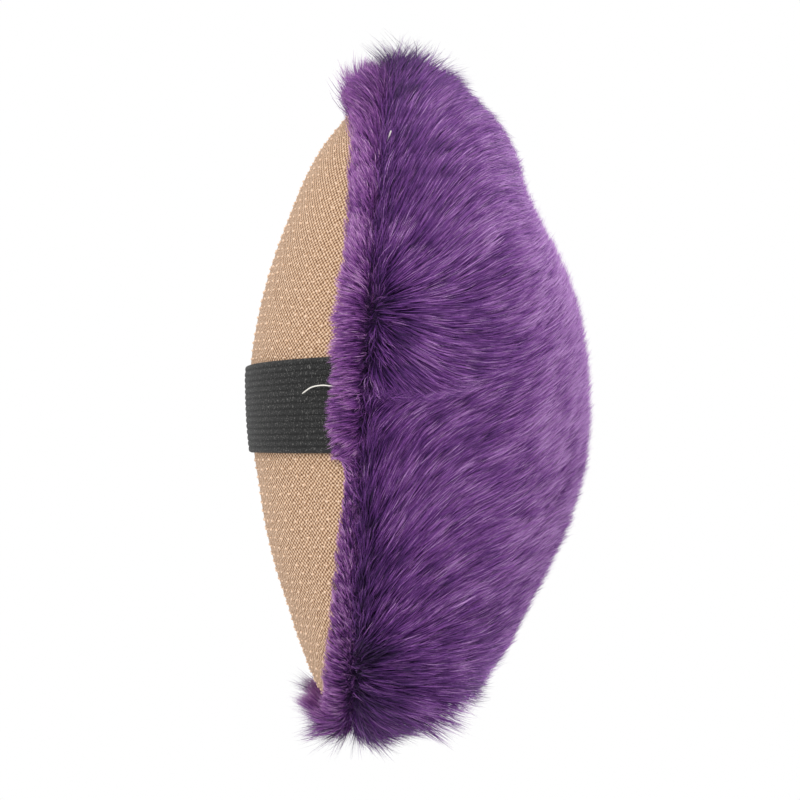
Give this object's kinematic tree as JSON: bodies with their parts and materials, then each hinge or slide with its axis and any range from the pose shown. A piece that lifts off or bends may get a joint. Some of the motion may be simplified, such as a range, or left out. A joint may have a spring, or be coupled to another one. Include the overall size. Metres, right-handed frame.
{
  "type": "moving mouth puppet",
  "caption": "Hand puppet with a hinged mouth: a faux-fur head with a finger pocket, a jaw under a dotted knit grip panel, and an elastic thumb strap.",
  "frame": {"origin": "on the hinge line at the middle of its width, where the crook of the holding hand sits", "axes": "+Z from the hinge to the tip of the mouth, +X from the closed mouth towards the fur head, -X towards the grip panel and its strap, Y along the hinge"},
  "size_m": [0.1043, 0.132, 0.206],
  "materials": {
    "purple_fur": "long soft pile",
    "foam": "open-cell foam",
    "sleeve_cloth": "plain woven",
    "board": "matt",
    "mouth_felt": "felt",
    "grip_knit": "fine knit with raised grip dots",
    "hinge_cloth": "twill tape",
    "black_elastic": "ribbed woven elastic",
    "black_thread": "polyester thread"
  },
  "bodies": {
    "head": {"fur_head_cover": "purple_fur", "head_foam": "foam", "finger_sleeve": "sleeve_cloth", "sleeve_hem": "sleeve_cloth", "upper_board": "board", "upper_lining": "mouth_felt", "hinge_tape": "hinge_cloth"},
    "jaw": {"grip_panel": "grip_knit", "fur_lip_strip": "purple_fur", "jaw_foam": "foam", "lower_board": "board", "lower_lining": "mouth_felt", "strap_end_left": "black_elastic", "strap_end_right": "black_elastic", "strap_stitches": "black_thread"},
    "strap": {"elastic_strap": "black_elastic"}
  },
  "joints": [
    {"name": "jaw_open", "type": "hinge", "parent": "head", "child": "jaw", "pos_m": [0, 0, 0], "axis": [0, -1, 0], "range_deg": [0, 50], "deforming": ["hinge_tape"]},
    {"name": "strap_stretch", "type": "slide", "parent": "jaw", "child": "strap", "axis": [-1, 0, 0], "range_m": [0, 0.014], "stiffness_N_per_m": 300}
  ]
}
